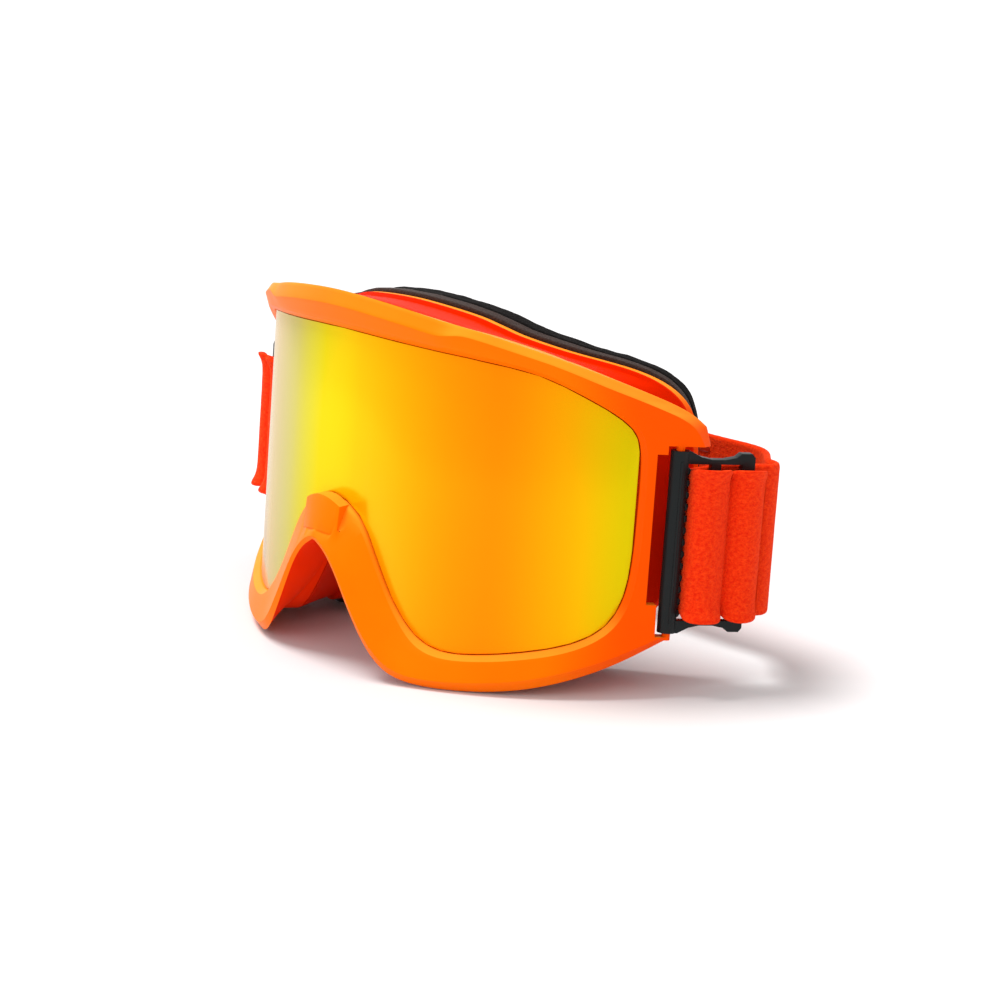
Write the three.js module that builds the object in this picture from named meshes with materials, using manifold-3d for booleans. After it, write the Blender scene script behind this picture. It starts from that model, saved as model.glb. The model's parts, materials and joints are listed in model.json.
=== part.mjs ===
// Ski goggles: a wrap-round frame with a mirrored double lens, a moulded face frame with a foam
// face seal, and an elastic head strap held at both ends by a three-bar buckle that swings on a
// post in the frame's side wing. Millimetres, +Z up, lens towards -Y, wearer's left side on +X.
import * as THREE from 'three';
import { LoftGeometry } from 'three/addons/geometries/LoftGeometry.js';
import { mergeVertices } from 'three/addons/utils/BufferGeometryUtils.js';
import Module from 'manifold-3d';

const LENS_RADIUS = 84;        // outer face of the lens, bent about an upright axis
const LEAN = 5;                // the goggles rest leaning back by this many degrees
const RING_STEPS = 88;         // stations round every ring

const LENS_THICK = 1.2;
const INNER_LENS_THICK = 1.0;
const SPACER_DEPTH = 4.0;
const LENS_GAP = 0.35;         // play between the lens edge and the frame
const LEDGE = 3.0;             // width of the ledge the lens is seated on
const RIM_FRONT = 3.2;         // how far the rim stands in front of the lens face
const RIM_REAR = -7.0;         // rear edge of the frame, measured from the lens face
const FACE_FRAME_START = -7.3;
const WALL = 2.0;

const FACE_RADIUS = 95;        // plan curve of the face seal
const FACE_CENTRE_Y = 35.7;
const SEAL_WIDTH = 9.5;
const FOAM_BASE = 4.5;
const FOAM_SOFT = 5.5;
const FLEECE = 1.2;
const LAYER_GAP = 0.3;

const POST_ARC = 93.8;         // buckle post, measured along the lens arc from the nose
const POST_OUT = 1.5;
const POST_RADIUS = 1.1;
const BUCKLE_MID_Z = 42.7;
const BUCKLE_HEIGHT = 46;
const STRAP_WIDTH = 39;
const STRAP_THICK = 1.8;
const LEFT_SWING = 46;         // the left buckle stands swung out by this many degrees

// Half outline from the middle of the brow round to the nose. Each row: lens edge (arc, height),
// outer edge of the frame (arc, height), chamfer width, forward flare, wall place (0 = lens edge,
// 1 = outer edge), face seal edge (across, height), draw-in of the rim's rear edge.
const ROWS = [
  [0, 86.5, 0, 96.3, 4.8, 1.0, 0.74, 0, 92.0, 2.2],
  [22, 85.6, 22, 94.6, 4.8, 1.0, 0.72, 19, 90.7, 2.2],
  [31.5, 85.0, 32.5, 92.8, 4.6, 0.8, 0.74, 26, 89.3, 1.8],
  [37.5, 84.6, 38.8, 91.9, 2.4, 0.4, 0.75, 30.5, 88.1, 1.6],
  [44, 84.0, 46, 90.7, 2.4, 0.2, 0.77, 35, 86.9, 1.4],
  [58, 82.1, 63, 86.6, 2.6, 0, 0.82, 47, 84.5, 1.0],
  [70.5, 77.2, 78, 81.8, 3.6, 0, 0.7, 57, 82.7, 0.6],
  [79.2, 72.6, 92, 76.8, 4.4, 0, 0.4, 64.5, 79.8, 0],
  [83.6, 68.0, 100.2, 71.6, 3.6, 0, 0.17, 69.5, 74, 0],
  [84.6, 60.5, 101.4, 62.5, 1.6, 0, 0.15, 71.0, 63, 0],
  [84.6, 50, 101.2, 50.0, 1.6, 0, 0.15, 71.2, 50, 0],
  [84.3, 38.0, 100.4, 36.0, 1.6, 0, 0.15, 70.5, 38, 0],
  [83.0, 28.0, 98.2, 22.0, 1.8, 0, 0.2, 67.5, 26, 0],
  [78.8, 20.0, 89, 15.0, 3.0, 0, 0.55, 61, 16, 0],
  [70.5, 15.0, 76, 8.2, 3.4, 0, 0.8, 52.5, 9.2, 0],
  [59, 11.9, 60.5, 2.9, 3.4, 0, 0.85, 44, 5.8, 0.6],
  [47.2, 9.8, 45, 0.5, 3.4, 0.2, 0.62, 36, 5.5, 3.0],
  [37.5, 9.2, 31.5, 0.2, 3.0, 0.8, 0.46, 29.5, 8.0, 5.2],
  [29.6, 12.2, 23.4, 2.4, 2.4, 1.6, 0.48, 24, 14.6, 5.4],
  [22.4, 20.0, 17.4, 8.6, 2.0, 2.4, 0.62, 19, 23.5, 4.0],
  [16.2, 30.4, 11.6, 18.0, 1.8, 3.0, 0.76, 14, 32, 2.4],
  [10.0, 39.4, 6.6, 26.6, 1.6, 3.4, 0.84, 8, 38.8, 1.4],
  [0, 43.4, 0, 32.0, 1.6, 3.6, 0.86, 0, 42.2, 1.0],
];

const wasm = await Module();
wasm.setup();

function toSolid(geometry) {
  const bare = new THREE.BufferGeometry().copy(geometry);
  bare.deleteAttribute('normal');
  bare.deleteAttribute('uv');
  const joined = mergeVertices(bare, 1e-4);
  const index = joined.index ? joined.index.array : joined.attributes.position.array.map((v, i) => i);
  return new wasm.Manifold(new wasm.Mesh({
    numProp: 3,
    vertProperties: new Float32Array(joined.attributes.position.array),
    triVerts: new Uint32Array(index),
  }));
}

function toGeometry(solid) {
  const mesh = solid.getMesh();
  const geometry = new THREE.BufferGeometry();
  geometry.setAttribute('position', new THREE.BufferAttribute(new Float32Array(mesh.vertProperties), 3));
  geometry.setIndex(new THREE.BufferAttribute(new Uint32Array(mesh.triVerts), 1));
  return geometry;
}

// The rows mirrored into one closed ring of stations with matching indices.
function ringOf(columnA, columnB) {
  const right = ROWS.map((row) => new THREE.Vector3(row[columnA], row[columnB], 0));
  const left = right.slice(1, -1).reverse().map((p) => new THREE.Vector3(-p.x, p.y, 0));
  const curve = new THREE.CatmullRomCurve3([...right, ...left], true, 'catmullrom', 0.5);
  return Array.from({ length: RING_STEPS }, (_, i) => curve.getPoint(i / RING_STEPS));
}

function valueRing(column) {
  const right = ROWS.map((row, i) => new THREE.Vector3(i, row[column], 0));
  const values = [...right, ...right.slice(1, -1).reverse()].map((p) => p.y);
  return Array.from({ length: RING_STEPS }, (_, i) => {
    const at = (i / RING_STEPS) * values.length;
    const low = Math.floor(at);
    return THREE.MathUtils.lerp(values[low % values.length], values[(low + 1) % values.length], at - low);
  });
}

// Every station moved square to the outline, towards the inside of the ring for a positive distance.
function inset(ring, distance) {
  return ring.map((p, i) => {
    const before = ring[(i + ring.length - 1) % ring.length];
    const after = ring[(i + 1) % ring.length];
    const along = new THREE.Vector3().subVectors(after, before).normalize();
    return new THREE.Vector3(p.x + along.y * distance, p.y - along.x * distance, 0);
  });
}

const lensRing = ringOf(0, 1);
const edgeRing = ringOf(2, 3);
const chamferRing = valueRing(4);
const flareRing = valueRing(5);
const wallPlace = valueRing(6);
const tuckRing = valueRing(9);
const sealRing = ringOf(7, 8);

// A point given by its arc along the lens, its height and its distance in front of the lens face.
function wrap(arc, height, out) {
  const angle = arc / LENS_RADIUS;
  const radius = LENS_RADIUS + out;
  return new THREE.Vector3(radius * Math.sin(angle), -radius * Math.cos(angle), height);
}

function faceY(across) {
  return FACE_CENTRE_Y - Math.sqrt(FACE_RADIUS ** 2 - across ** 2);
}

// A solid through a row of closed loops; the loops are turned so that its faces point outwards.
function loft(sections, capped) {
  const middle = (loop) => loop.reduce((sum, p) => sum.add(p), new THREE.Vector3()).divideScalar(loop.length);
  const centre = middle(sections[0]);
  const ahead = middle(sections[1]).sub(centre);
  const turn = sections[0].reduce((sum, p, i) => {
    const next = sections[0][(i + 1) % sections[0].length];
    const a = new THREE.Vector3().subVectors(p, centre);
    const b = new THREE.Vector3().subVectors(next, centre);
    return sum + a.cross(b).dot(ahead);
  }, 0);
  const loops = turn > 0 ? sections : sections.map((loop) => [...loop].reverse());
  return toSolid(new LoftGeometry(loops, { closed: true, capStart: capped, capEnd: capped }));
}

function closedLoft(sectionAt) {
  const sections = Array.from({ length: RING_STEPS }, (_, i) => sectionAt(i));
  sections.push(sections[0].map((p) => p.clone()));
  return loft(sections, false);
}

function between(a, b, t) {
  return new THREE.Vector3().lerpVectors(a, b, t);
}

function frameRing() {
  const ledge = inset(lensRing, LEDGE);
  return closedLoft((i) => {
    const lens = lensRing[i];
    const edge = edgeRing[i];
    const width = lens.distanceTo(edge);
    const chamfer = chamferRing[i];
    const flare = flareRing[i];
    const sunk = THREE.MathUtils.smoothstep(flare, 1.0, 2.4);
    const lip = between(lens, edge, THREE.MathUtils.lerp(1.3, 0.6, sunk) / width);
    const rear = between(lens, edge, 1 - tuckRing[i] / width);
    const crease = between(lens, edge, 1 - (0.8 * chamfer) / width);
    const slope = THREE.MathUtils.lerp(0.55, 0.35, THREE.MathUtils.smoothstep(chamfer, 4.4, 4.6));
    const wallOut = between(lens, edge, wallPlace[i]);
    const wallIn = between(lens, edge, wallPlace[i] - WALL / width);
    const onWing = THREE.MathUtils.smoothstep(0.85 - wallPlace[i], 0, 0.45);
    const skirt = THREE.MathUtils.lerp(RIM_REAR + 1.5, -0.2, onWing);
    return [
      wrap(lens.x, lens.y, 0.6),
      wrap(lip.x, lip.y, THREE.MathUtils.lerp(RIM_FRONT - 0.9, 1.3, sunk)),
      wrap(crease.x, crease.y, RIM_FRONT + 0.9 * flare),
      wrap(edge.x, edge.y, RIM_FRONT - slope * chamfer + flare),
      wrap(rear.x, rear.y, skirt),
      wrap(wallOut.x, wallOut.y, skirt - 0.4),
      wrap(wallOut.x, wallOut.y, RIM_REAR),
      wrap(wallIn.x, wallIn.y, RIM_REAR),
      wrap(wallIn.x, wallIn.y, -4.2),
      wrap(ledge[i].x, ledge[i].y, -4.2),
      wrap(ledge[i].x, ledge[i].y, -LENS_THICK - LENS_GAP),
      wrap(lens.x, lens.y, -LENS_THICK - LENS_GAP),
    ];
  });
}

// A box standing square to the frame, from one arc and height to another.
function wingBlock(side, arcFrom, arcTo, heightFrom, heightTo, outFrom, outTo) {
  const corner = (arc, height, out) => wrap(side * arc, height, out);
  const steps = 4;
  const sections = Array.from({ length: steps + 1 }, (_, i) => {
    const arc = THREE.MathUtils.lerp(arcFrom, arcTo, i / steps);
    return [
      corner(arc, heightFrom, outFrom), corner(arc, heightFrom, outTo),
      corner(arc, heightTo, outTo), corner(arc, heightTo, outFrom),
    ];
  });
  return loft(sections, true);
}

// Raised pad over the nose bridge: flush with the bridge's face below, a step above the lens.
function nosePad() {
  const sections = [-6.5, -4.2, -1.5, 1.5, 4.2, 6.5].map((arc) => {
    const square = arc * arc;
    const top = 43.9 - 0.052 * square;
    const foot = 34.6 - 0.02 * square;
    const footOut = 5.9 - 0.04 * square;
    return [
      wrap(arc, 37, 0.5), wrap(arc, top, 0.5), wrap(arc, top - 0.3, 4.2 - 0.014 * square),
      wrap(arc, foot, footOut), wrap(arc, foot, footOut - 2.5),
    ];
  });
  return loft(sections, true);
}

function post(side) {
  const place = wrap(side * POST_ARC, 0, POST_OUT);
  const bar = new THREE.CylinderGeometry(POST_RADIUS, POST_RADIUS, 50, 20);
  bar.rotateX(Math.PI / 2);
  bar.translate(place.x, place.y, BUCKLE_MID_Z);
  return toSolid(bar);
}

function buildFrame() {
  let solid = frameRing().add(nosePad());
  for (const side of [-1, 1]) {
    solid = solid.subtract(wingBlock(side, 88.0, 91.2, 26.6, 64.6, -6, 8));
    solid = solid.subtract(wingBlock(side, 90.6, 112, 18.6, 66.8, -6, 8));
    solid = solid.add(post(side));
  }
  const parts = solid.decompose();
  const biggest = parts.reduce((a, b) => (a.volume() > b.volume() ? a : b));
  return toGeometry(biggest);
}

// A bent pane: upright slices from the lower to the upper edge of a ring outline.
function pane(ring, outFrom, outTo) {
  const reach = Math.max(...ring.map((p) => p.x)) - 0.15;
  const arcs = [-reach, ...ring.map((p) => p.x).sort((a, b) => a - b), reach];
  const stations = arcs.filter((arc, i) => Math.abs(arc) <= reach && (i === 0 || arc - arcs[i - 1] > 0.05));
  const sections = stations.map((arc) => {
    const heights = [];
    ring.forEach((a, k) => {
      const b = ring[(k + 1) % ring.length];
      if ((a.x - arc) * (b.x - arc) <= 0 && a.x !== b.x) {
        heights.push(THREE.MathUtils.lerp(a.y, b.y, (arc - a.x) / (b.x - a.x)));
      }
    });
    const low = Math.min(...heights);
    const high = Math.max(...heights);
    return [wrap(arc, low, outFrom), wrap(arc, low, outTo), wrap(arc, high, outTo), wrap(arc, high, outFrom)];
  });
  return toGeometry(loft(sections, true));
}

function spacer() {
  const outer = inset(lensRing, LEDGE + 0.4);
  const inner = inset(lensRing, LEDGE + 2.9);
  const front = -LENS_THICK - 0.3;
  const back = front - SPACER_DEPTH;
  return toGeometry(closedLoft((i) => [
    wrap(outer[i].x, outer[i].y, front), wrap(inner[i].x, inner[i].y, front),
    wrap(inner[i].x, inner[i].y, back), wrap(outer[i].x, outer[i].y, back),
  ]));
}

// A point of the face seal: its outline place and its depth behind the face frame.
function onSeal(point, depth) {
  return new THREE.Vector3(point.x, faceY(point.x) + depth, point.y);
}

const sealLip = inset(sealRing, -1.0);
const sealWall = inset(sealRing, WALL);
const sealInner = inset(sealRing, SEAL_WIDTH);
const wallRing = lensRing.map((lens, i) => between(lens, edgeRing[i], wallPlace[i]));
const wallInner = inset(wallRing, WALL);

function faceFrame() {
  let solid = closedLoft((i) => [
    wrap(wallRing[i].x, wallRing[i].y, FACE_FRAME_START),
    onSeal(sealRing[i], -2.6),
    onSeal(sealLip[i], -2.2),
    onSeal(sealLip[i], 0),
    onSeal(sealInner[i], 0),
    onSeal(sealInner[i], -1.8),
    onSeal(sealWall[i], -2.2),
    wrap(wallInner[i].x, wallInner[i].y, FACE_FRAME_START),
  ]);
  for (const side of [-1, 1]) {
    for (const across of [40, 46, 52]) {
      const slot = new THREE.BoxGeometry(4, 9, 24);
      slot.rotateZ((side * across) / LENS_RADIUS);
      slot.translate(side * across, -66 + across * 0.33, 4);
      solid = solid.subtract(toSolid(slot));
    }
  }
  return toGeometry(solid);
}

// Foam pad lying on the inside of the lower wall of the face frame, over the air slots.
function ventFoam(side) {
  const mirrored = (i) => (side > 0 ? i : (RING_STEPS - i) % RING_STEPS);
  const perRow = RING_STEPS / (2 * (ROWS.length - 1));
  const from = Math.round(14.1 * perRow);
  const to = Math.round(17 * perRow);
  const sections = [];
  for (let k = from; k <= to; k += 1) {
    const i = mirrored(k);
    const front = wrap(wallInner[i].x, wallInner[i].y, FACE_FRAME_START);
    const back = onSeal(sealWall[i], -2.2);
    const low = between(front, back, 0.1);
    const high = between(front, back, 0.86);
    const lift = (p, by) => new THREE.Vector3(p.x, p.y, p.z + by);
    sections.push([lift(low, 0.9), lift(high, 0.9), lift(high, 3.9), lift(low, 3.9)]);
  }
  return toGeometry(loft(sections, true));
}

// The foam stands proud of the face frame above and below, and draws in at the temples.
function foamOutline(ring, depth) {
  return ring.map((p) => {
    const above = THREE.MathUtils.smoothstep(p.y, 42, 86);
    const below = 1 - THREE.MathUtils.smoothstep(p.y, 6, 30);
    return new THREE.Vector3(p.x * (1 - 0.0052 * depth), p.y + 2.0 * above - 2.0 * below, 0);
  });
}

function sealLayer(from, thick, margin) {
  const outer = inset(sealRing, margin);
  const outerFront = foamOutline(outer, from);
  const outerBack = foamOutline(outer, from + thick);
  const innerFront = foamOutline(sealInner, from);
  const innerBack = foamOutline(sealInner, from + thick);
  return toGeometry(closedLoft((i) => [
    onSeal(outerFront[i], from), onSeal(outerBack[i], from + thick),
    onSeal(innerBack[i], from + thick), onSeal(innerFront[i], from),
  ]));
}

// The buckle's own directions in plan: u runs back from the post, n points away from the wearer.
function buckleFrame(side, swing) {
  const place = wrap(side * POST_ARC, 0, POST_OUT);
  const lie = POST_ARC / LENS_RADIUS - THREE.MathUtils.degToRad(swing);
  const u = new THREE.Vector3(side * Math.cos(lie), Math.sin(lie), 0);
  const n = new THREE.Vector3(side * Math.sin(lie), -Math.cos(lie), 0);
  return { place, u, n };
}

function inBuckle(frame, u, n) {
  return new THREE.Vector3().copy(frame.place).addScaledVector(frame.u, u).addScaledVector(frame.n, n);
}

function buckle(side, swing) {
  const half = BUCKLE_HEIGHT / 2;
  const upper = [[19.2, 21.6], [18.4, 22.6], [15.6, 22.6], [14.4, 21.6], [11.4, 21.0], [8, 21.0], [5.2, 21.6]];
  const halfOutline = [...upper, [2.4, half], [-0.6, half], [-1.5, half - 1.2]];
  const points = [...halfOutline, ...[...halfOutline].reverse().map(([u, z]) => [u, -z])];
  const outline = new THREE.Shape(points.map(([u, z]) => new THREE.Vector2(u, z)));
  const plate = new THREE.ExtrudeGeometry(outline, { depth: 2.6, bevelEnabled: false });
  plate.translate(0, 0, -1.1);
  let solid = toSolid(plate);
  for (const [from, to] of [[1.6, 8.0], [10.4, 16.0]]) {
    const opening = new THREE.BoxGeometry(to - from, STRAP_WIDTH + 0.7, 10);
    opening.translate((from + to) / 2, 0, 0);
    solid = solid.subtract(toSolid(opening));
  }
  const hub = new THREE.CylinderGeometry(2.35, 2.35, BUCKLE_HEIGHT, 24);
  const bore = new THREE.CylinderGeometry(1.42, 1.42, BUCKLE_HEIGHT + 4, 20);
  solid = solid.add(toSolid(hub)).subtract(toSolid(bore));
  const geometry = toGeometry(solid);
  const { place, u, n } = buckleFrame(side, swing);
  geometry.applyMatrix4(new THREE.Matrix4().makeBasis(u, new THREE.Vector3(0, 0, side), n));
  geometry.translate(place.x, place.y, BUCKLE_MID_Z);
  return geometry;
}

// A strap length: a ribbon of constant thickness along a plan path, standing upright.
function ribbon(points, thick, low, high, steps) {
  const curve = new THREE.CatmullRomCurve3(points, false, 'centripetal');
  const line = curve.getSpacedPoints(steps);
  const sideways = line.map((p, i) => {
    const before = line[Math.max(0, i - 1)];
    const after = line[Math.min(line.length - 1, i + 1)];
    return new THREE.Vector2(after.y - before.y, before.x - after.x).normalize().multiplyScalar(thick / 2);
  });
  const outer = line.map((p, i) => new THREE.Vector2(p.x + sideways[i].x, p.y + sideways[i].y));
  const inner = line.map((p, i) => new THREE.Vector2(p.x - sideways[i].x, p.y - sideways[i].y));
  const shape = new THREE.Shape([...outer, ...inner.reverse()]);
  const solid = new THREE.ExtrudeGeometry(shape, { depth: high - low, bevelEnabled: false });
  solid.translate(0, 0, low);
  return toGeometry(toSolid(solid));
}

const STRAP_LOW = BUCKLE_MID_Z - STRAP_WIDTH / 2;
const STRAP_HIGH = BUCKLE_MID_Z + STRAP_WIDTH / 2;

function strapEnd(side, swing) {
  const frame = buckleFrame(side, swing);
  const path = [
    [21.9, 1.7], [19.6, 2.8], [17.2, 3.2], [14.9, 2.3], [13.2, 0.8], [11.6, 2.4], [9, 4.3], [6.2, 3.9],
    [4.4, 1.6], [4.4, -1.3], [6.5, -2.8], [10, -3.0], [16, -3.0], [21.4, -2.8],
  ];
  return ribbon(path.map(([u, n]) => inBuckle(frame, u, n)), STRAP_THICK, STRAP_LOW, STRAP_HIGH, 64);
}

function backRun() {
  const right = buckleFrame(1, 0);
  const left = buckleFrame(-1, LEFT_SWING);
  return [
    inBuckle(right, 21.8, -2.8), inBuckle(right, 25.4, -3.2), inBuckle(right, 27.6, -6.0),
    inBuckle(right, 27.0, -9.8), new THREE.Vector3(68, 0.4, 0), new THREE.Vector3(50, 1.0, 0),
    new THREE.Vector3(25, 1.8, 0), new THREE.Vector3(0, 2.2, 0), new THREE.Vector3(-25, 2.0, 0),
    new THREE.Vector3(-52, 1.0, 0), new THREE.Vector3(-72, -2, 0), new THREE.Vector3(-88, -8.5, 0),
    new THREE.Vector3(-98, -17.5, 0), inBuckle(left, 27.4, -8.8), inBuckle(left, 27.4, -5.6),
    inBuckle(left, 25.0, -3.2), inBuckle(left, 21.8, -2.8),
  ];
}

function gripLine(height) {
  const middle = backRun().slice(4, 11).map((p) => new THREE.Vector3(p.x, p.y - STRAP_THICK / 2 - 0.35, 0));
  return ribbon(middle, 0.4, height - 0.9, height + 0.9, 24);
}

const goggles = new THREE.Group();
goggles.name = 'goggles';

function addPart(name, geometry, colour, roughness, metalness) {
  const flat = geometry.index ? geometry.toNonIndexed() : geometry;
  flat.computeVertexNormals();
  const mesh = new THREE.Mesh(flat, new THREE.MeshStandardMaterial({ color: colour, roughness, metalness }));
  mesh.name = name;
  goggles.add(mesh);
}

addPart('frame', buildFrame(), '#ff7600', 0.45, 0);
addPart('face_frame', faceFrame(), '#e63a10', 0.5, 0);
addPart('lens_outer', pane(inset(lensRing, LENS_GAP), -LENS_THICK, 0), '#f2b010', 0.08, 0.9);
addPart('lens_inner', pane(inset(lensRing, LEDGE + 0.4), -6.8, -6.8 + INNER_LENS_THICK), '#8a7a60', 0.1, 0);
addPart('lens_spacer', spacer(), '#26221f', 0.9, 0);
addPart('foam_base', sealLayer(LAYER_GAP, FOAM_BASE, 0), '#2c211c', 0.8, 0);
addPart('foam_soft', sealLayer(FOAM_BASE + 2 * LAYER_GAP, FOAM_SOFT, 0), '#15120f', 0.95, 0);
addPart('fleece_lining', sealLayer(FOAM_BASE + FOAM_SOFT + 3 * LAYER_GAP, FLEECE, 0.6), '#0b0a0a', 1, 0);
addPart('vent_foam_left', ventFoam(-1), '#171412', 0.95, 0);
addPart('vent_foam_right', ventFoam(1), '#171412', 0.95, 0);
addPart('buckle_left', buckle(-1, LEFT_SWING), '#1a1d1d', 0.5, 0);
addPart('buckle_right', buckle(1, 0), '#1a1d1d', 0.5, 0);
addPart('strap_end_left', strapEnd(-1, LEFT_SWING), '#f02c06', 0.9, 0);
addPart('strap_end_right', strapEnd(1, 0), '#f02c06', 0.9, 0);
addPart('strap_run', ribbon(backRun(), STRAP_THICK, STRAP_LOW, STRAP_HIGH, 110), '#f02c06', 0.9, 0);
addPart('grip_line_upper', gripLine(STRAP_HIGH - 4), '#c41e04', 0.5, 0);
addPart('grip_line_lower', gripLine(STRAP_LOW + 4), '#c41e04', 0.5, 0);

goggles.rotation.x = THREE.MathUtils.degToRad(-LEAN);
goggles.updateMatrixWorld(true);
const box = new THREE.Box3().setFromObject(goggles, true);
goggles.position.set(-(box.min.x + box.max.x) / 2, -(box.min.y + box.max.y) / 2, -box.min.z);

const part = new THREE.Group();
part.name = 'ski_goggles';
part.add(goggles);
export default part;
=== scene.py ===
import bpy
import math
import json
import mathutils
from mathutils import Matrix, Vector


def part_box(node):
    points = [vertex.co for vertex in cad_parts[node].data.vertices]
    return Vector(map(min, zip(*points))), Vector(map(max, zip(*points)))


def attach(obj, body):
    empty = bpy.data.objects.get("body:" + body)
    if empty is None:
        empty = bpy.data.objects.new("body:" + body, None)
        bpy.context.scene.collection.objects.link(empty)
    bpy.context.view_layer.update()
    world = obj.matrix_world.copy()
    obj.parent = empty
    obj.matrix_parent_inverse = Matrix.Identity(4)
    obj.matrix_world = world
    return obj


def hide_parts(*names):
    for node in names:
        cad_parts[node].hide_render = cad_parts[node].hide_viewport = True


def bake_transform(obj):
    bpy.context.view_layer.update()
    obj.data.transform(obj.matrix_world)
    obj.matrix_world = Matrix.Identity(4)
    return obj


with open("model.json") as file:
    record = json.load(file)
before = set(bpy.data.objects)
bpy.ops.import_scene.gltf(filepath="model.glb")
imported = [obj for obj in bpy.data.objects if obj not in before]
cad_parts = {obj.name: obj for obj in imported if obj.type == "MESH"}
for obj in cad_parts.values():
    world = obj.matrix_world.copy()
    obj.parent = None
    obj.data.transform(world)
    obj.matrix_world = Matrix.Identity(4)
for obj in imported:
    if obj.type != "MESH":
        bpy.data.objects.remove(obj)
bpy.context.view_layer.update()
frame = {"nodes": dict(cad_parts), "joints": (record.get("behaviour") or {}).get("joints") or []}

# ---------------------------------------------------------------------------------------------
# Studio. The goggles stand on a pale table under broad soft lamps, with the main lamp high on
# the left so that the shadow falls softly to the right. The camera looks past the right end of
# the lens from a little above.
# ---------------------------------------------------------------------------------------------
bpy.ops.object.camera_add(location=(0.63832, -0.53048, 0.25173),
                          rotation=(math.radians(76), 0, math.radians(50)))
camera = bpy.context.object
camera.name = "studio_camera"
camera.data.lens = 116.3
camera.data.sensor_width = 36
camera.data.shift_x = 0.0454
camera.data.shift_y = -0.0402
camera.data.clip_start = 0.01
bpy.context.scene.camera = camera

bpy.ops.object.select_all(action="DESELECT")
bpy.ops.mesh.primitive_plane_add(size=6, location=(0, 0, -0.0002))
table = bpy.context.object
table.name = "table_top"
white_table = bpy.data.materials.new("white_table")
white_table.use_nodes = True
shader = white_table.node_tree.nodes["Principled BSDF"]
shader.inputs["Base Color"].default_value = (0.66, 0.65, 0.65, 1)
shader.inputs["Roughness"].default_value = 0.95
shader.inputs["Specular IOR Level"].default_value = 0.1
table.data.materials.append(white_table)

room = bpy.data.worlds.new("pale_room")
room.use_nodes = True
room.node_tree.nodes["Background"].inputs["Color"].default_value = (1, 1, 1, 1)
room.node_tree.nodes["Background"].inputs["Strength"].default_value = 0.9
bpy.context.scene.world = room
bpy.context.scene.view_settings.view_transform = "Standard"

bpy.ops.object.light_add(type="SUN", location=(-0.3, -0.5, 1.4),
                         rotation=(math.radians(15), math.radians(-15), math.radians(-20)))
key_lamp = bpy.context.object
key_lamp.name = "key_lamp"
key_lamp.data.energy = 2.9
key_lamp.data.angle = math.radians(24)
key_lamp.visible_glossy = False
bpy.ops.object.light_add(type="AREA", location=(0.0, -1.5, 0.55), rotation=(math.radians(70), 0, 0))
front_lamp = bpy.context.object
front_lamp.name = "front_lamp"
front_lamp.data.size = 0.9
front_lamp.data.energy = 4
front_lamp.visible_glossy = False

# ---------------------------------------------------------------------------------------------
# Orange shell. One injection moulding in satin polyurethane: the rim round the lens with its
# creased front, the brow, the cheeks, the nose bridge and the side wings with the buckle posts.
# Its edges leave the tool with a small radius and its surface has a fine spark-eroded grain.
# ---------------------------------------------------------------------------------------------
LEAN = math.radians(5)
MIDDLE_X = (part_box("frame")[0].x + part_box("frame")[1].x) / 2


def merged_copy(node, name, quads=True):
    """A moulded piece in its true shape: the node's mesh copied, its points joined."""
    bpy.ops.object.select_all(action="DESELECT")
    mesh = frame["nodes"][node].data.copy()
    mesh.materials.clear()
    piece = bpy.data.objects.new(name, mesh)
    bpy.context.scene.collection.objects.link(piece)
    bpy.context.view_layer.objects.active = piece
    piece.select_set(True)
    bpy.ops.object.mode_set(mode="EDIT")
    bpy.ops.mesh.select_all(action="SELECT")
    bpy.ops.mesh.remove_doubles(threshold=0.000002)
    if quads:
        bpy.ops.mesh.tris_convert_to_quads(face_threshold=math.radians(25),
                                           shape_threshold=math.radians(40))
    bpy.ops.object.mode_set(mode="OBJECT")
    if mesh.has_custom_normals:
        bpy.ops.mesh.customdata_custom_splitnormals_clear()
    return piece


def crease_corners(piece, sharpness):
    bpy.ops.object.mode_set(mode="EDIT")
    bpy.ops.mesh.select_mode(type="EDGE")
    bpy.ops.mesh.select_all(action="DESELECT")
    bpy.ops.mesh.edges_select_sharp(sharpness=math.radians(sharpness))
    bpy.ops.transform.edge_crease(value=1.0)
    bpy.ops.object.mode_set(mode="OBJECT")


def use(piece, kind, name, **settings):
    step = piece.modifiers.new(name, kind)
    for key, value in settings.items():
        setattr(step, key, value)
    bpy.context.view_layer.objects.active = piece
    bpy.ops.object.modifier_apply(modifier=step.name)


def smooth(piece, angle):
    bpy.ops.object.select_all(action="DESELECT")
    piece.select_set(True)
    bpy.context.view_layer.objects.active = piece
    bpy.ops.object.shade_smooth_by_angle(angle=math.radians(angle))


shell = merged_copy("frame", "orange_shell")
crease_corners(shell, 24)
use(shell, "SUBSURF", "rounding", levels=2, render_levels=2)
use(shell, "BEVEL", "tool_radius", width=0.0004, segments=3, limit_method="ANGLE",
    angle_limit=math.radians(26), use_clamp_overlap=True)
smooth(shell, 28)


def finish_group(name, inputs, outputs):
    group = bpy.data.node_groups.new(name, "ShaderNodeTree")
    for label, kind, value in inputs:
        socket = group.interface.new_socket(label, in_out="INPUT", socket_type=kind)
        socket.default_value = value
    for label, kind in outputs:
        group.interface.new_socket(label, in_out="OUTPUT", socket_type=kind)
    return group, group.nodes.new("NodeGroupInput"), group.nodes.new("NodeGroupOutput")


def wire(tree, start, start_socket, end, end_socket):
    tree.links.new(start.outputs[start_socket], end.inputs[end_socket])


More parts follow.
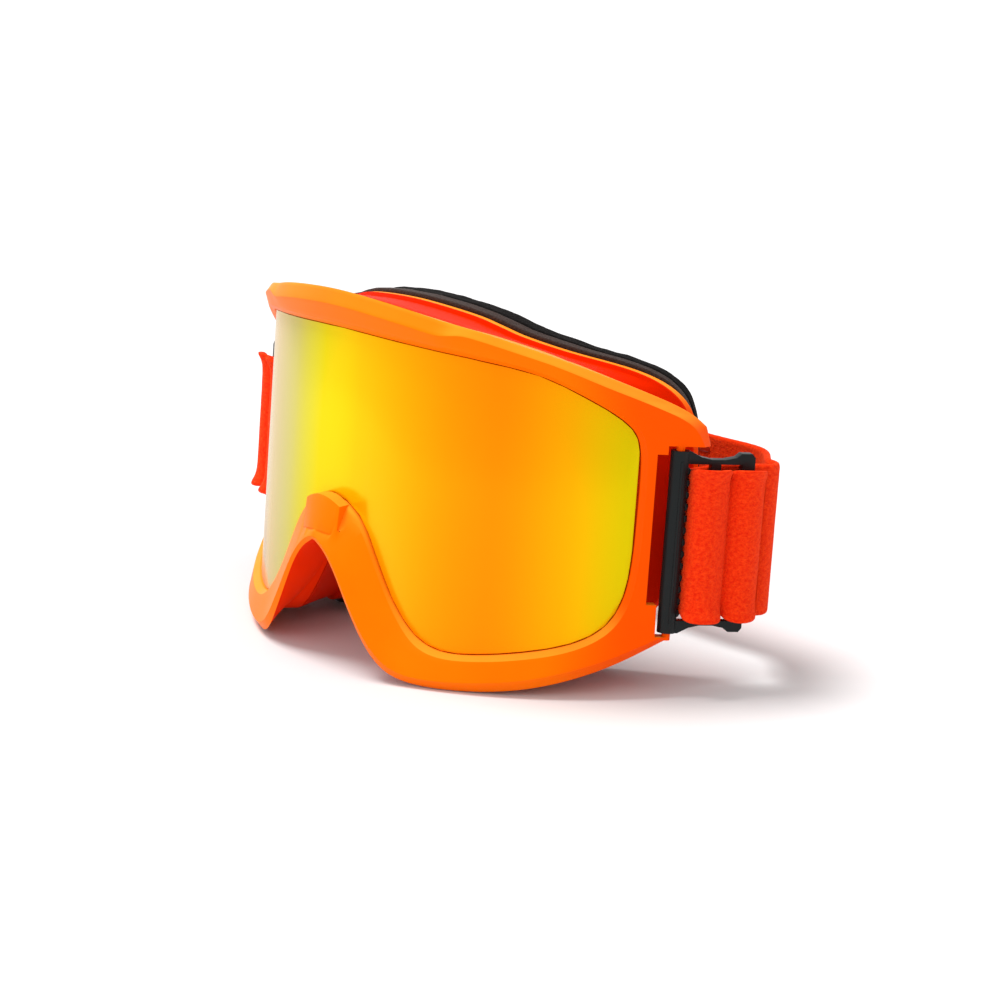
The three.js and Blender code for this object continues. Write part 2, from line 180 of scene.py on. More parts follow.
# moulded grain: a fine even texture in the skin of the plastic, with faint patches of tone
grain, grain_in, grain_out = finish_group(
    "moulded_grain",
    [("Colour", "NodeSocketColor", (0.8, 0.2, 0.0, 1)),
     ("Shade", "NodeSocketColor", (0.6, 0.1, 0, 1)),
     ("Grain Scale", "NodeSocketFloat", 4000.0), ("Patch Scale", "NodeSocketFloat", 60.0),
     ("Roughness", "NodeSocketFloat", 0.4), ("Depth", "NodeSocketFloat", 0.1)],
    [("Colour", "NodeSocketColor"), ("Roughness", "NodeSocketFloat"),
     ("Normal", "NodeSocketVector")])
where = grain.nodes.new("ShaderNodeTexCoord")
fine = grain.nodes.new("ShaderNodeTexNoise")
fine.inputs["Detail"].default_value = 3
patches = grain.nodes.new("ShaderNodeTexNoise")
patches.inputs["Detail"].default_value = 4
wire(grain, where, "Object", fine, "Vector")
wire(grain, where, "Object", patches, "Vector")
wire(grain, grain_in, "Grain Scale", fine, "Scale")
wire(grain, grain_in, "Patch Scale", patches, "Scale")
tone = grain.nodes.new("ShaderNodeMix")
tone.data_type = "RGBA"
spread = grain.nodes.new("ShaderNodeMapRange")
spread.inputs["From Min"].default_value = 0.3
spread.inputs["From Max"].default_value = 0.75
spread.inputs["To Max"].default_value = 0.35
wire(grain, patches, "Fac", spread, "Value")
wire(grain, spread, "Result", tone, "Factor")
grain.links.new(grain_in.outputs["Colour"], tone.inputs["A"])
grain.links.new(grain_in.outputs["Shade"], tone.inputs["B"])
grain.links.new(tone.outputs["Result"], grain_out.inputs["Colour"])
sheen_spread = grain.nodes.new("ShaderNodeMapRange")
sheen_spread.inputs["To Min"].default_value = -0.05
sheen_spread.inputs["To Max"].default_value = 0.08
wire(grain, fine, "Fac", sheen_spread, "Value")
add = grain.nodes.new("ShaderNodeMath")
add.operation = "ADD"
wire(grain, grain_in, "Roughness", add, 0)
wire(grain, sheen_spread, "Result", add, 1)
wire(grain, add, "Value", grain_out, "Roughness")
relief = grain.nodes.new("ShaderNodeBump")
relief.inputs["Distance"].default_value = 0.0001
wire(grain, fine, "Fac", relief, "Height")
wire(grain, grain_in, "Depth", relief, "Strength")
wire(grain, relief, "Normal", grain_out, "Normal")


def finish(name, roughness=0.5, specular=0.5, metallic=0.0):
    material = bpy.data.materials.new(name)
    material.use_nodes = True
    shader = material.node_tree.nodes["Principled BSDF"]
    shader.inputs["Roughness"].default_value = roughness
    shader.inputs["Specular IOR Level"].default_value = specular
    shader.inputs["Metallic"].default_value = metallic
    return material, material.node_tree, shader


def place_group(tree, group, **values):
    node = tree.nodes.new("ShaderNodeGroup")
    node.node_tree = group
    for label, value in values.items():
        node.inputs[label.replace("_", " ")].default_value = value
    return node


def wire_skin(tree, skin, shader):
    """Everything that a finish's group puts out goes to the shader's socket for it."""
    for given, taken in (("Colour", "Base Color"), ("Roughness", "Roughness"),
                         ("Normal", "Normal")):
        if given in skin.outputs:
            wire(tree, skin, given, shader, taken)


# the shell's orange is painted redder on the wings, as painted shade where they turn from the light
orange, tree, shader = finish("satin_orange", specular=0.16)
shader.inputs["Specular Tint"].default_value = (1.0, 0.45, 0.08, 1)
skin = place_group(tree, grain, Shade=(0.86, 0.11, 0.0, 1), Grain_Scale=5200.0, Patch_Scale=45.0,
                   Roughness=0.42, Depth=0.12)
spot = tree.nodes.new("ShaderNodeTexCoord")
apart = tree.nodes.new("ShaderNodeSeparateXYZ")
wire(tree, spot, "Object", apart, "Vector")
off_middle = tree.nodes.new("ShaderNodeMath")
off_middle.operation = "SUBTRACT"
off_middle.inputs[1].default_value = MIDDLE_X
wire(tree, apart, "X", off_middle, 0)
sideways = tree.nodes.new("ShaderNodeMath")
sideways.operation = "ABSOLUTE"
wire(tree, off_middle, "Value", sideways, 0)
reach = tree.nodes.new("ShaderNodeMapRange")
reach.interpolation_type = "SMOOTHSTEP"
reach.inputs["From Min"].default_value = 0.058
reach.inputs["From Max"].default_value = 0.074
wire(tree, sideways, "Value", reach, "Value")
# painted shade: the redder orange of the wings
painted_wing_shade = tree.nodes.new("ShaderNodeMix")
painted_wing_shade.data_type = "RGBA"
painted_wing_shade.inputs["A"].default_value = (1.0, 0.175, 0.0, 1)
painted_wing_shade.inputs["B"].default_value = (1.0, 0.075, 0.0, 1)
wire(tree, reach, "Result", painted_wing_shade, "Factor")
# faces that look up are painted lighter and yellower, as painted light from above
facing = tree.nodes.new("ShaderNodeNewGeometry")
upward = tree.nodes.new("ShaderNodeSeparateXYZ")
wire(tree, facing, "Normal", upward, "Vector")
top_light_mask = tree.nodes.new("ShaderNodeMapRange")
top_light_mask.interpolation_type = "SMOOTHSTEP"
top_light_mask.inputs["From Min"].default_value = 0.3
top_light_mask.inputs["From Max"].default_value = 0.75
top_light_mask.inputs["To Max"].default_value = 0.85
wire(tree, upward, "Z", top_light_mask, "Value")
# painted light: upward faces turn pale yellow-orange
painted_top_light = tree.nodes.new("ShaderNodeMix")
painted_top_light.data_type = "RGBA"
wire(tree, top_light_mask, "Result", painted_top_light, "Factor")
tree.links.new(painted_wing_shade.outputs["Result"], painted_top_light.inputs["A"])
painted_top_light.inputs["B"].default_value = (1.0, 0.33, 0.02, 1)
tree.links.new(painted_top_light.outputs["Result"], skin.inputs["Colour"])
wire_skin(tree, skin, shader)
shell.data.materials.append(orange)

# places on the goggles are given square to them, from the right post, before they lean back
post = [place["pos_m"] for place in frame["joints"] if place["name"] == "buckle_right_swing"][0]
POST_ACROSS, POST_BACK, POST_HEIGHT = 0.076834, -0.037505, 0.0427
LEAN_COS, LEAN_SIN = math.cos(LEAN), math.sin(LEAN)


def from_goggles(across, back, height):
    """A point given square to the goggles, whose post is known, as it stands leaning back."""
    step_back, step_up = back - POST_BACK, height - POST_HEIGHT
    return (MIDDLE_X + across, post[1] + step_back * LEAN_COS + step_up * LEAN_SIN,
            post[2] - step_back * LEAN_SIN + step_up * LEAN_COS)


def in_goggles(point):
    step_back, step_up = point[1] - post[1], point[2] - post[2]
    return (point[0] - MIDDLE_X, POST_BACK + step_back * LEAN_COS - step_up * LEAN_SIN,
            POST_HEIGHT + step_back * LEAN_SIN + step_up * LEAN_COS)


# the walls of the nose arch are painted a deeper red, as painted shade in the arch under the nose
arch_painted_shade, tree, shader = finish("arch_shade_orange_red", specular=0.06)
shader.inputs["Specular Tint"].default_value = (1.0, 0.2, 0.03, 1)
skin = place_group(tree, grain, Colour=(1.0, 0.032, 0.0, 1), Shade=(0.8, 0.015, 0.0, 1),
                   Grain_Scale=5200.0, Patch_Scale=45.0, Roughness=0.45, Depth=0.12)
wire_skin(tree, skin, shader)
shell.data.materials.append(arch_painted_shade)
ARCH_DEPTH = 0.012    # the arch is about round a point this far below the goggles
for face in shell.data.polygons:
    across, back, height = in_goggles(face.center)
    reach = math.hypot(across, back)
    normal = face.normal
    level_back = normal.y * LEAN_COS - normal.z * LEAN_SIN
    outwards = (normal.x * across + level_back * back) / reach
    level_up = normal.y * LEAN_SIN + normal.z * LEAN_COS
    round_lens = (normal.x * -back + level_back * across) / reach
    from_centre = height + ARCH_DEPTH
    into_arch = -(round_lens * across + level_up * from_centre) / math.hypot(across, from_centre)
    # faces turned into the arch take the painted shade
    if abs(across) < 0.034 and height < 0.036 and outwards < 0.35 and into_arch > 0.45:
        face.material_index = 1

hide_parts("frame")
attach(shell, "goggles")

# ---------------------------------------------------------------------------------------------
# Face frame. A softer moulding in deep red that carries the foam. It clips to the back of the
# shell, spreads out to the shape of a face and ends in a thin lip, with air slots below.
# ---------------------------------------------------------------------------------------------
face_frame = merged_copy("face_frame", "red_face_frame")
crease_corners(face_frame, 30)
use(face_frame, "SUBSURF", "rounding", levels=2, render_levels=2)
use(face_frame, "BEVEL", "tool_radius", width=0.0003, segments=2, limit_method="ANGLE",
    angle_limit=math.radians(35), use_clamp_overlap=True)
smooth(face_frame, 30)
red, tree, shader = finish("soft_red", specular=0.04)
shader.inputs["Specular Tint"].default_value = (1.0, 0.12, 0.02, 1)
skin = place_group(tree, grain, Colour=(0.78, 0.020, 0.0, 1), Shade=(0.52, 0.006, 0.0, 1),
                   Grain_Scale=4200.0, Patch_Scale=40.0, Roughness=0.5, Depth=0.1)
wire_skin(tree, skin, shader)
face_frame.data.materials.append(red)
face_frame.data.materials.append(orange)
# the lip along the foam is left in the shell's orange
SEAL_RADIUS, SEAL_CENTRE_BACK = 0.095, 0.0357
for face in face_frame.data.polygons:
    across, back, height = in_goggles(face.center)
    seal_plane = SEAL_CENTRE_BACK - math.sqrt(SEAL_RADIUS ** 2 - across ** 2)
    if back > seal_plane - 0.0016 and height > 0.03:
        face.material_index = 1
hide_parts("face_frame")
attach(face_frame, "goggles")

# ---------------------------------------------------------------------------------------------
# Outer lens. A polycarbonate pane bent to one radius with ground edges and a vacuum-deposited
# mirror coat, whose colour runs from yellow to orange, then back to gold; the silver grey at its
# left end is a painted reflection.
# ---------------------------------------------------------------------------------------------
lens = merged_copy("lens_outer", "mirror_lens")
use(lens, "BEVEL", "ground_edge", width=0.00025, segments=2, limit_method="ANGLE",
    angle_limit=math.radians(40), use_clamp_overlap=True)
smooth(lens, 30)
mirror, tree, shader = finish("mirror_coat", roughness=0.2, metallic=0.5, specular=0.25)
shader.inputs["Specular Tint"].default_value = (1.0, 0.75, 0.25, 1)
spot = tree.nodes.new("ShaderNodeTexCoord")
apart = tree.nodes.new("ShaderNodeSeparateXYZ")
wire(tree, spot, "Object", apart, "Vector")
LENS_HALF_WIDTH = 0.072
lens_place = tree.nodes.new("ShaderNodeMapRange")
lens_place.inputs["From Min"].default_value = MIDDLE_X - LENS_HALF_WIDTH
lens_place.inputs["From Max"].default_value = MIDDLE_X + LENS_HALF_WIDTH
wire(tree, apart, "X", lens_place, "Value")
coat_with_painted_reflection = tree.nodes.new("ShaderNodeValToRGB")
coat_with_painted_reflection.color_ramp.interpolation = "CARDINAL"
# the first two stops, pale grey, are a painted reflection at the left end; the rest is the coat's
# own colour
stops_of_coat_and_reflection = [(0.0, (0.5, 0.45, 0.45)), (0.2, (0.55, 0.48, 0.44)), (0.35, (0.6, 0.55, 0.15)),
         (0.45, (0.8, 0.65, 0.0)), (0.55, (1.0, 0.55, 0.0)), (0.8, (1.0, 0.28, 0.0)),
         (0.92, (0.95, 0.42, 0.0)), (1.0, (0.65, 0.6, 0.0))]
while len(coat_with_painted_reflection.color_ramp.elements) < len(stops_of_coat_and_reflection):
    coat_with_painted_reflection.color_ramp.elements.new(0.5)
for stop, (position, colour) in zip(coat_with_painted_reflection.color_ramp.elements, stops_of_coat_and_reflection):
    stop.position = position
    stop.color = (*colour, 1)
wire(tree, lens_place, "Result", coat_with_painted_reflection, "Fac")
wire(tree, coat_with_painted_reflection, "Color", shader, "Base Color")
lens.data.materials.append(mirror)
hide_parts("lens_outer")
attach(lens, "goggles")

# ---------------------------------------------------------------------------------------------
# Inner pane and spacer. A thin clear pane with a wipe-on anti-fog film sits behind a strip of
# closed-cell foam that keeps the two panes apart all round.
# ---------------------------------------------------------------------------------------------
pane = merged_copy("lens_inner", "clear_pane")
smooth(pane, 30)
clear, tree, shader = finish("clear_amber", roughness=0.04)
shader.inputs["Base Color"].default_value = (0.93, 0.80, 0.60, 1)
shader.inputs["Transmission Weight"].default_value = 1.0
shader.inputs["IOR"].default_value = 1.49
pane.data.materials.append(clear)
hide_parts("lens_inner")
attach(pane, "goggles")

# ---------------------------------------------------------------------------------------------
# Face foam. Three laminated layers cut to the shape of the lip: a dense dark brown foam with a
# satin cut edge, a soft black foam, and a brushed fleece that lies on the skin.
# ---------------------------------------------------------------------------------------------
pores, pores_in, pores_out = finish_group(
    "foam_pores",
    [("Colour", "NodeSocketColor", (0.02, 0.02, 0.02, 1)),
     ("Pore Colour", "NodeSocketColor", (0, 0, 0, 1)),
     ("Scale", "NodeSocketFloat", 2500.0), ("Depth", "NodeSocketFloat", 0.5)],
    [("Colour", "NodeSocketColor"), ("Normal", "NodeSocketVector")])
where = pores.nodes.new("ShaderNodeTexCoord")
cells = pores.nodes.new("ShaderNodeTexVoronoi")
wire(pores, where, "Object", cells, "Vector")
wire(pores, pores_in, "Scale", cells, "Scale")
tone = pores.nodes.new("ShaderNodeMix")
tone.data_type = "RGBA"
wire(pores, cells, "Distance", tone, "Factor")
pores.links.new(pores_in.outputs["Pore Colour"], tone.inputs["A"])
pores.links.new(pores_in.outputs["Colour"], tone.inputs["B"])
pores.links.new(tone.outputs["Result"], pores_out.inputs["Colour"])
relief = pores.nodes.new("ShaderNodeBump")
relief.inputs["Distance"].default_value = 0.0003
wire(pores, cells, "Distance", relief, "Height")
wire(pores, pores_in, "Depth", relief, "Strength")
wire(pores, relief, "Normal", pores_out, "Normal")

for node, name, slot, colour, pore, scale, rough, rounding, wobble, full in (
        ("foam_base", "brown_foam_ring", "brown_foam", (0.048, 0.024, 0.018),
         (0.016, 0.008, 0.006), 1900.0, 0.5, 0.0014, 0.0003, 0.95),
        ("foam_soft", "black_foam_ring", "black_foam", (0.009, 0.007, 0.0065),
         (0.002, 0.0015, 0.0015), 1500.0, 0.8, 0.0016, 0.0008, 0.85),
        ("fleece_lining", "fleece_ring", "black_fleece", (0.02, 0.019, 0.019),
         (0.006, 0.006, 0.006), 3200.0, 1.0, 0.0005, 0.0006, 0.8)):
    ring = merged_copy(node, name)
    crease_corners(ring, 40)
    use(ring, "SUBSURF", "rounding", levels=2, render_levels=2)
    use(ring, "BEVEL", "soft_edge", width=rounding, segments=4, limit_method="ANGLE",
        angle_limit=math.radians(40), use_clamp_overlap=True)
    lumps = bpy.data.textures.new(name + "_lumps", "CLOUDS")
    lumps.noise_scale = 0.006
    use(ring, "DISPLACE", "lumps", texture=lumps, texture_coords="LOCAL", strength=wobble,
        mid_level=0.5)
    smooth(ring, 60)
    foam, tree, shader = finish(name + "_finish", roughness=rough, specular=0.08)
    skin = place_group(tree, pores, Colour=(*colour, 1), Pore_Colour=(*pore, 1), Scale=scale,
                       Depth=0.6)
    wire_skin(tree, skin, shader)
    ring.data.materials.append(foam)
    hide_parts(node)
    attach(ring, "goggles")

for node, name, slot in (("lens_spacer", "spacer_strip", "spacer_foam"),
                         ("vent_foam_left", "vent_pad_left", "vent_foam"),
                         ("vent_foam_right", "vent_pad_right", "vent_foam")):
    pad = merged_copy(node, name)
    use(pad, "BEVEL", "cut_edge", width=0.0003, segments=2, limit_method="ANGLE",
        angle_limit=math.radians(40), use_clamp_overlap=True)
    smooth(pad, 50)
    foam, tree, shader = finish(name + "_finish", roughness=0.9, specular=0.25)
    skin = place_group(tree, pores, Colour=(0.03, 0.027, 0.025, 1),
                       Pore_Colour=(0.006, 0.005, 0.005, 1), Scale=1100.0, Depth=0.9)
    wire_skin(tree, skin, shader)
    pad.data.materials.append(foam)
    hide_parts(node)
    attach(pad, "goggles")

# ---------------------------------------------------------------------------------------------
# Buckles. Each is a flat three-bar slide in glass-filled nylon, snapped over the post of its
# wing, with a rounded front bar, a row of small teeth that bite the strap, and knobbed arms.
# ---------------------------------------------------------------------------------------------
black, tree, shader = finish("satin_black", specular=0.18)
skin = place_group(tree, grain, Colour=(0.007, 0.0095, 0.010, 1), Shade=(0.004, 0.005, 0.0055, 1),
                   Grain_Scale=3800.0, Patch_Scale=90.0, Roughness=0.36, Depth=0.25)
wire_skin(tree, skin, shader)
POST_ARC, LENS_RADIUS, LEFT_SWING = 93.8, 84, 46
POST_TURN = POST_ARC / LENS_RADIUS
SLIDE_LIE = {"right": POST_TURN, "left": POST_TURN - math.radians(LEFT_SWING)}
TEETH, TOOTH_PITCH = 13, 0.003
SIDE_SIGN = {"right": 1, "left": -1}


def on_slide(side_name, along, out):
    """A plan place on a slide: along it from its post, and out from the wearer."""
    sign, lie = SIDE_SIGN[side_name], SLIDE_LIE[side_name]
    return (sign * (POST_ACROSS + along * math.cos(lie) + out * math.sin(lie)),
            POST_BACK + along * math.sin(lie) - out * math.cos(lie))


for side_name in ("left", "right"):
    slide = merged_copy("buckle_" + side_name, "slide_" + side_name)
    use(slide, "BEVEL", "tool_radius", width=0.0005, segments=3, limit_method="ANGLE",
        angle_limit=math.radians(28), use_clamp_overlap=True)
    sign, lie = SIDE_SIGN[side_name], SLIDE_LIE[side_name]
    details = []
    # teeth along the inner edge of the front bar
    for step in range(TEETH):
        height = POST_HEIGHT + (step - TEETH // 2) * TOOTH_PITCH
        across, back = on_slide(side_name, 0.0018, 0.0004)
        bpy.ops.object.select_all(action="DESELECT")
        bpy.ops.mesh.primitive_cylinder_add(vertices=10, radius=0.00105, depth=0.0018,
                                            location=from_goggles(across, back, height),
                                            rotation=(math.radians(90), 0, sign * lie))
        tooth = bpy.context.object
        use(tooth, "BEVEL", "round_tip", width=0.00025, segments=2, limit_method="ANGLE")
        details.append(tooth)
    # a fine ridge down the front bar
    across, back = on_slide(side_name, 0.0, 0.00232)
    bpy.ops.mesh.primitive_cylinder_add(vertices=10, radius=0.0004, depth=0.041,
                                        location=from_goggles(across, back, POST_HEIGHT),
                                        rotation=(-LEAN, 0, 0))
    ridge = bpy.context.object
    use(ridge, "BEVEL", "round_tip", width=0.0002, segments=2, limit_method="ANGLE")
    details.append(ridge)
    bpy.ops.object.select_all(action="DESELECT")
    for detail in details:
        detail.select_set(True)
    slide.select_set(True)
    bpy.context.view_layer.objects.active = slide
    bpy.ops.object.join()
    smooth(slide, 35)
    slide.data.materials.append(black)
    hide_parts("buckle_" + side_name)
    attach(slide, "buckle_" + side_name)

# ---------------------------------------------------------------------------------------------
# Strap. Brushed elastic webbing, 39 mm wide, in two lengths sewn together at the back. Each end
# goes through its slide, rolls round the middle bar and comes back, so that two rolls show.
# ---------------------------------------------------------------------------------------------
WEB_HALF_WIDTH, WEB_HALF_THICK = 0.0195, 0.0009
ROLLS = [(21.9, 1.7), (19.8, 3.1), (17.4, 3.7), (15.0, 2.8), (13.0, 0.9), (11.4, 2.6), (8.6, 4.6),
         (5.6, 4.1), (3.7, 1.8), (3.7, -1.2), (6.0, -2.8), (10, -3.0), (16, -3.0), (21.4, -2.8)]
TURN = {"right": [(25.4, -3.2), (27.6, -6.0), (27.0, -9.8)],
        "left": [(25.0, -3.2), (27.4, -5.6), (27.4, -8.8)]}
BACK = {"right": [(68, 0.4), (50, 1.0), (25, 1.8), (10, 2.6), (2, 3.9), (-12, 4.0)],
        "left": [(-98, -17.5), (-88, -8.5), (-72, -2), (-52, 1.0), (-25, 2.0), (-8, 2.1),
                 (12, 2.1)]}
LINE_STEP = 0.0011        # spacing of the rings of points along the strap
ROLLS_END, NIP_END, NIP_FADE = 0.032, 0.036, 0.008
CREST, CREST_START = 0.0024, 0.0010


def smooth_line(points, spacing):
    """A plan line of even steps through the given points."""
    line = []
    for i in range(len(points) - 1):
        p0, p1, p2, p3 = (mathutils.Vector(points[min(max(k, 0), len(points) - 1)])
                          for k in (i - 1, i, i + 1, i + 2))
        bend_in = (p2 - p0) / 2 if i else p2 - p1
        bend_out = (p3 - p1) / 2 if i < len(points) - 2 else p2 - p1
        reach = (p2 - p1).length
        bend_in = bend_in.normalized() * reach
        bend_out = bend_out.normalized() * reach
        for k in range(24):
            t = k / 24
            line.append(p1 * (2 * t ** 3 - 3 * t ** 2 + 1) + bend_in * (t ** 3 - 2 * t ** 2 + t)
                        + p2 * (3 * t ** 2 - 2 * t ** 3) + bend_out * (t ** 3 - t ** 2))
    line.append(mathutils.Vector(points[-1]))
    even, gone = [line[0]], 0.0
    for a, b in zip(line, line[1:]):
        gone += (b - a).length
        while gone >= spacing:
            gone -= spacing
            even.append(b + (a - b).normalized() * gone)
    return even


def web(name, line, half_width, half_thick, height, puff, nip):
    """A ribbon standing along a plan line; puff rounds off its rolls, nip draws its edges in."""
    flat = [-1, -0.96, -0.9, -0.8, -0.6, -0.3, 0, 0.3, 0.6, 0.8, 0.9, 0.96, 1]
    body = half_width - half_thick
    section = [(body * f, 1.0) for f in flat]
    section += [(body + half_thick * math.sin(a), math.cos(a)) for a in (0.8, 1.57, 2.34)]
    section += [(-body * f, -1.0) for f in flat]
    section += [(-body - half_thick * math.sin(a), -math.cos(a)) for a in (0.8, 1.57, 2.34)]
    points, places, gone = [], [], 0.0
    for i, spot in enumerate(line):
        before, after = line[max(i - 1, 0)], line[min(i + 1, len(line) - 1)]
        gone += (spot - before).length if i else 0
        along = (after - before).normalized()
        out = mathutils.Vector((-along.y, along.x))
        lift = puff[i]
        end = min(i, len(line) - 1 - i)
        thin = min(1.0, 0.55 + 0.25 * end)
        for rise, side in section:
            edge = max(0.0, (abs(rise) / half_width - 0.72) / 0.28)
            spot_out = side * half_thick * thin - lift * edge ** 2
            across, back = spot.x + out.x * spot_out, spot.y + out.y * spot_out
            points.append(from_goggles(across, back, height + rise * (1 - nip[i] * edge)))
            places.append((gone, rise))
    ring = len(section)
    faces = [(i * ring + k, i * ring + (k + 1) % ring,
              (i + 1) * ring + (k + 1) % ring, (i + 1) * ring + k)
             for i in range(len(line) - 1) for k in range(ring)]
    faces.append(tuple(range(ring)))
    faces.append(tuple(range((len(line) - 1) * ring, len(line) * ring))[::-1])
    mesh = bpy.data.meshes.new(name)
    mesh.from_pydata(points, [], faces)
    cloth = mesh.uv_layers.new(name="cloth")
    for loop in mesh.loops:
        cloth.data[loop.index].uv = places[loop.vertex_index]
    piece = bpy.data.objects.new(name, mesh)
    bpy.context.scene.collection.objects.link(piece)
    bpy.ops.object.select_all(action="DESELECT")
    piece.select_set(True)
    bpy.context.view_layer.objects.active = piece
    bpy.ops.object.mode_set(mode="EDIT")
    bpy.ops.mesh.select_all(action="SELECT")
    bpy.ops.mesh.normals_make_consistent(inside=False)
    bpy.ops.object.mode_set(mode="OBJECT")
    return piece


# brushed webbing: short raised fibres over a faint rib across the strap, with worn darker tufts
plush, plush_in, plush_out = finish_group(
    "brushed_webbing",
    [("Colour", "NodeSocketColor", (0.9, 0.03, 0.003, 1)),
     ("Shade", "NodeSocketColor", (0.6, 0.005, 0, 1)),
     ("Fibre Scale", "NodeSocketFloat", 1500.0), ("Tuft Scale", "NodeSocketFloat", 260.0),
     ("Depth", "NodeSocketFloat", 0.5)],
    [("Colour", "NodeSocketColor"), ("Normal", "NodeSocketVector")])
where = plush.nodes.new("ShaderNodeTexCoord")
fibre = plush.nodes.new("ShaderNodeTexNoise")
fibre.inputs["Detail"].default_value = 5
fibre.inputs["Roughness"].default_value = 0.7
tuft = plush.nodes.new("ShaderNodeTexNoise")
tuft.inputs["Detail"].default_value = 6
tuft.inputs["Roughness"].default_value = 0.65
wire(plush, where, "UV", fibre, "Vector")
wire(plush, where, "UV", tuft, "Vector")
wire(plush, plush_in, "Fibre Scale", fibre, "Scale")
wire(plush, plush_in, "Tuft Scale", tuft, "Scale")
both = plush.nodes.new("ShaderNodeMath")
both.operation = "MULTIPLY_ADD"
both.inputs[1].default_value = 0.6
wire(plush, fibre, "Fac", both, 0)
wire(plush, tuft, "Fac", both, 2)
depth_of_pile = plush.nodes.new("ShaderNodeMapRange")
depth_of_pile.inputs["From Min"].default_value = 0.62
depth_of_pile.inputs["From Max"].default_value = 0.95
wire(plush, both, "Value", depth_of_pile, "Value")
tone = plush.nodes.new("ShaderNodeMix")
tone.data_type = "RGBA"
wire(plush, depth_of_pile, "Result", tone, "Factor")
plush.links.new(plush_in.outputs["Shade"], tone.inputs["A"])
plush.links.new(plush_in.outputs["Colour"], tone.inputs["B"])
plush.links.new(tone.outputs["Result"], plush_out.inputs["Colour"])
relief = plush.nodes.new("ShaderNodeBump")
relief.inputs["Distance"].default_value = 0.0006
wire(plush, both, "Value", relief, "Height")
wire(plush, plush_in, "Depth", relief, "Strength")
wire(plush, relief, "Normal", plush_out, "Normal")

webbing, tree, shader = finish("red_brushed_webbing", roughness=0.95, specular=0.1)
shader.inputs["Sheen Weight"].default_value = 0.25
shader.inputs["Sheen Roughness"].default_value = 0.5
shader.inputs["Sheen Tint"].default_value = (1.0, 0.25, 0.08, 1)
skin = place_group(tree, plush, Colour=(1.0, 0.05, 0.004, 1), Shade=(0.78, 0.012, 0.0, 1),
                   Fibre_Scale=2600.0, Tuft_Scale=1100.0, Depth=0.7)
wire_skin(tree, skin, shader)

for side_name in ("left", "right"):
    plan = [on_slide(side_name, along / 1000, out / 1000) for along, out in ROLLS + TURN[side_name]]
    plan += [(across / 1000, back / 1000) for across, back in BACK[side_name]]
    line = smooth_line(plan, LINE_STEP)
    # how much a point of the line stands out of the slide, for the rolls' rounded ends
    sign, lie = SIDE_SIGN[side_name], SLIDE_LIE[side_name]
    puff, nip = [], []
    for i, spot in enumerate(line):
        from_post = sign * (spot.x - sign * POST_ACROSS)
        out = from_post * math.sin(lie) - (spot.y - POST_BACK) * math.cos(lie)
        on_rolls = i * LINE_STEP < ROLLS_END
        puff.append(min(CREST, max(0.0, (out - CREST_START) * 0.85)) if on_rolls else 0.0)
        fading = min(1.0, max(0.0, (NIP_END - i * LINE_STEP) / NIP_FADE))
        nip.append(26 * (CREST - puff[-1]) * fading)
    # the line runs outwards on one side and inwards on the other, so its outer face changes sides
    turn = -1 if side_name == "right" else 1
    strap = web("strap_" + side_name + "_half", line, WEB_HALF_WIDTH, WEB_HALF_THICK, POST_HEIGHT,
                [turn * lift for lift in puff], nip)
    use(strap, "SUBSURF", "soft", levels=1, render_levels=1)
    fuzz = bpy.data.textures.new("strap_fuzz_" + side_name, "CLOUDS")
    fuzz.noise_scale = 0.0009
    fuzz.noise_depth = 2
    use(strap, "DISPLACE", "fuzz", texture=fuzz, texture_coords="LOCAL", strength=0.00014,
        mid_level=0.5)
    smooth(strap, 70)
    strap.data.materials.append(webbing)
    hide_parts("strap_end_" + side_name, "strap_run")
    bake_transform(strap)

# ---------------------------------------------------------------------------------------------
# Join and grip. The two lengths overlap at the back and are sewn through in a box with a cross.
# Two silicone beads run along the strap's inner face and keep it from slipping on a helmet.
# ---------------------------------------------------------------------------------------------
bpy.ops.object.select_all(action="DESELECT")
bpy.ops.mesh.primitive_uv_sphere_add(segments=8, ring_count=5, radius=1)
stitch = bpy.context.object
stitch_points = [v.co.copy() for v in stitch.data.vertices]
stitch_faces = [tuple(f.vertices) for f in stitch.data.polygons]
bpy.data.objects.remove(stitch)
GRIP_LEVEL = 0.0155
STITCH_PITCH, STITCH_HALF_LENGTH, STITCH_HALF_WIDTH = 0.0026, 0.00105, 0.0003
JOIN_BACK = 0.00497       # the outer face of the overlap, where the thread lies
corners = [(-0.0095, -0.0155), (0.0005, -0.0155), (0.0005, 0.0155), (-0.0095, 0.0155)]
runs = [(corners[k], corners[(k + 1) % 4]) for k in range(4)]
runs += [(corners[0], corners[2]), (corners[1], corners[3])]
points, faces = [], []
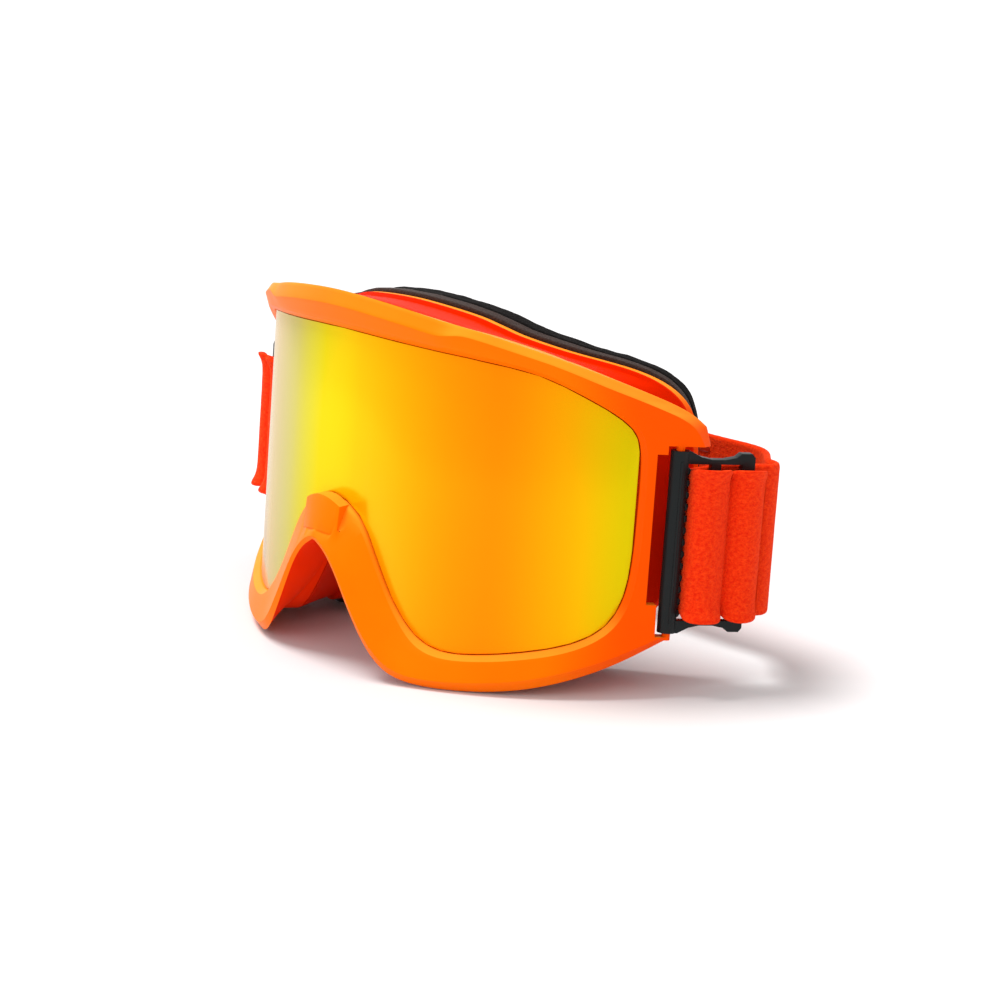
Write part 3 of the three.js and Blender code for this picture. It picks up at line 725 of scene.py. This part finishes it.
for start, stop in runs:
    start, stop = mathutils.Vector(start), mathutils.Vector(stop)
    count = max(2, round((stop - start).length / STITCH_PITCH))
    along = (stop - start).normalized()
    for k in range(count):
        centre = start + (stop - start) * (k + 0.5) / count
        first = len(points)
        for p in stitch_points:
            long, wide = p.x * STITCH_HALF_LENGTH, p.y * STITCH_HALF_WIDTH
            across = centre.x + along.x * long - along.y * wide
            height = centre.y + along.y * long + along.x * wide
            back = JOIN_BACK + 0.00026 * p.z
            points.append(from_goggles(across, back, POST_HEIGHT + height))
        faces += [tuple(first + v for v in face) for face in stitch_faces]
mesh = bpy.data.meshes.new("join_stitching")
mesh.from_pydata(points, [], faces)
stitching = bpy.data.objects.new("join_stitching", mesh)
bpy.context.scene.collection.objects.link(stitching)
bpy.context.view_layer.objects.active = stitching
stitching.select_set(True)
bpy.ops.object.mode_set(mode="EDIT")
bpy.ops.mesh.select_all(action="SELECT")
bpy.ops.mesh.normals_make_consistent(inside=False)
bpy.ops.object.mode_set(mode="OBJECT")
smooth(stitching, 60)
thread, tree, shader = finish("red_thread", roughness=0.6, specular=0.3)
skin = place_group(tree, grain, Colour=(0.75, 0.02, 0.003, 1), Shade=(0.4, 0.006, 0.001, 1),
                   Grain_Scale=6000.0, Patch_Scale=900.0, Roughness=0.6, Depth=0.3)
wire_skin(tree, skin, shader)
stitching.data.materials.append(thread)
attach(stitching, "goggles")

silicone, tree, shader = finish("clear_red_silicone", roughness=0.35, specular=0.5)
skin = place_group(tree, grain, Colour=(0.5, 0.02, 0.004, 1), Shade=(0.33, 0.01, 0.002, 1),
                   Grain_Scale=2600.0, Patch_Scale=200.0, Roughness=0.3, Depth=0.2)
wire_skin(tree, skin, shader)
for level, height in (("upper", POST_HEIGHT + GRIP_LEVEL), ("lower", POST_HEIGHT - GRIP_LEVEL)):
    plan = [(across / 1000, (back - 1.05) / 1000)
            for across, back in [(50, 1.0), (25, 1.8), (12, 2.05), (-8, 2.1), (-25, 2.0),
                                 (-52, 1.0)]]
    line = smooth_line(plan, 0.002)
    bead = web("grip_bead_" + level, line, 0.0009, 0.0002, height, [0] * len(line), [0] * len(line))
    use(bead, "SUBSURF", "soft", levels=1, render_levels=1)
    smooth(bead, 60)
    bead.data.materials.append(silicone)
    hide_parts("grip_line_" + level)
    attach(bead, "goggles")
